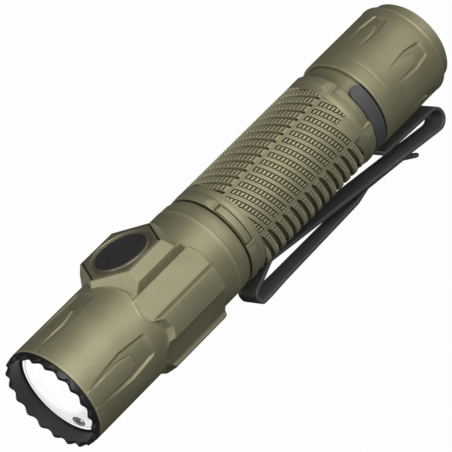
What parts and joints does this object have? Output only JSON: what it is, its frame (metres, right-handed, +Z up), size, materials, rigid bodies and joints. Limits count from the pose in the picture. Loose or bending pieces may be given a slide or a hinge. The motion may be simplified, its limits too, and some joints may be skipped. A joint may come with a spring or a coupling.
{
  "type": "tactical flashlight",
  "caption": "Cylindrical tactical flashlight with a crown bezel, hexagonal side switch pod, ribbed battery tube, screw tail cap with tail switch, and a reversible pocket clip.",
  "frame": {"origin": "on the optical axis, in the plane of the bezel crown's tips", "axes": "+X along the optical axis from the crown bezel to the tail, so the beam leaves towards -X; +Z up through the middle of the side switch; +Y completes the right-handed frame"},
  "size_m": [0.14, 0.0306, 0.0408],
  "materials": {
    "olive_anodised": "olive-tan hard-anodised aluminium, bead-blasted satin",
    "olive_plate": "slightly browner olive anodised aluminium, satin",
    "black_anodised": "black hard-anodised aluminium, satin",
    "lens_glass": "clear toughened glass, polished",
    "optic_plastic": "clear moulded optical plastic with a fine frosted front",
    "seal_rubber": "black nitrile rubber, matt",
    "white_silicone": "white silicone rubber, matt",
    "sensor_plastic": "dark moulded plastic, glossy",
    "white_plastic": "white heat-proof plastic, matt",
    "emitter_phosphor": "ceramic package with a yellow phosphor die under a clear dome",
    "board_copper": "copper core board with white mask",
    "screw_steel": "plain steel",
    "wire_insulation": "silicone wire insulation",
    "board_green": "glass-epoxy circuit board with green mask",
    "component_black": "moulded electronic components",
    "contact_brass": "gold-flashed brass",
    "cell_wrap": "plain shrink wrap with no print on a steel can",
    "button_grey": "dark grey satin button",
    "spring_steel_black": "black coated spring steel, semi-gloss",
    "magnet_nickel": "nickel-plated neodymium"
  },
  "bodies": {
    "light_body": {"bezel_ring": "black_anodised", "front_lens": "lens_glass", "lens_seal": "white_silicone", "proximity_sensor": "sensor_plastic", "collimator_optic": "optic_plastic", "led_centering_ring": "white_plastic", "led_emitter": "emitter_phosphor", "led_board": "board_copper", "led_board_screws": "screw_steel", "led_wires": "wire_insulation", "head_housing": "olive_anodised", "neck_ring": "olive_anodised", "switch_plate": "olive_plate", "side_button_seal": "seal_rubber", "side_switch_board": "board_green", "side_tact_switch": "screw_steel", "driver_board": "board_green", "driver_components": "component_black", "driver_retaining_ring": "contact_brass", "front_contact": "contact_brass", "front_contact_ring": "contact_brass", "battery_tube": "olive_anodised", "front_tube_seal": "seal_rubber", "rear_tube_seal": "seal_rubber", "battery_cell": "cell_wrap"},
    "side_button": {"side_button": "button_grey"},
    "pocket_clip": {"pocket_clip": "spring_steel_black"},
    "tail_spring": {"tail_spring": "contact_brass"},
    "tail_cap": {"tail_cap": "olive_anodised", "tail_rim": "olive_anodised", "tail_button_seal": "seal_rubber", "tail_switch_board": "board_green", "tail_tact_switch": "screw_steel", "tail_spacer": "white_plastic", "tail_retaining_ring": "contact_brass"},
    "tail_button": {"tail_button": "button_grey", "tail_magnet": "magnet_nickel", "tail_insulator": "sensor_plastic", "tail_contact_pin": "contact_brass"}
  },
  "joints": [
    {"name": "side_button_press", "type": "slide", "parent": "light_body", "child": "side_button", "axis": [0, 0, -1], "range_m": [0, 0.0005]},
    {"name": "clip_swivel", "type": "hinge", "parent": "light_body", "child": "pocket_clip", "pos_m": [0.1104, 0, 0], "axis": [1, 0, 0], "continuous": true},
    {"name": "tail_cap_advance", "type": "slide", "parent": "light_body", "child": "tail_spring", "axis": [1, 0, 0], "range_m": [0, 0.005]},
    {"name": "tail_cap_unscrew", "type": "hinge", "parent": "tail_spring", "child": "tail_cap", "pos_m": [0.1229, 0, 0], "axis": [1, 0, 0], "range_deg": [0, 1800]},
    {"name": "tail_button_press", "type": "slide", "parent": "tail_cap", "child": "tail_button", "axis": [-1, 0, 0], "range_m": [0, 0.0012]}
  ],
  "couplings": [
    {"joint": "tail_cap_advance", "follows": "tail_cap_unscrew", "m_per_rad": 0.00015915}
  ]
}
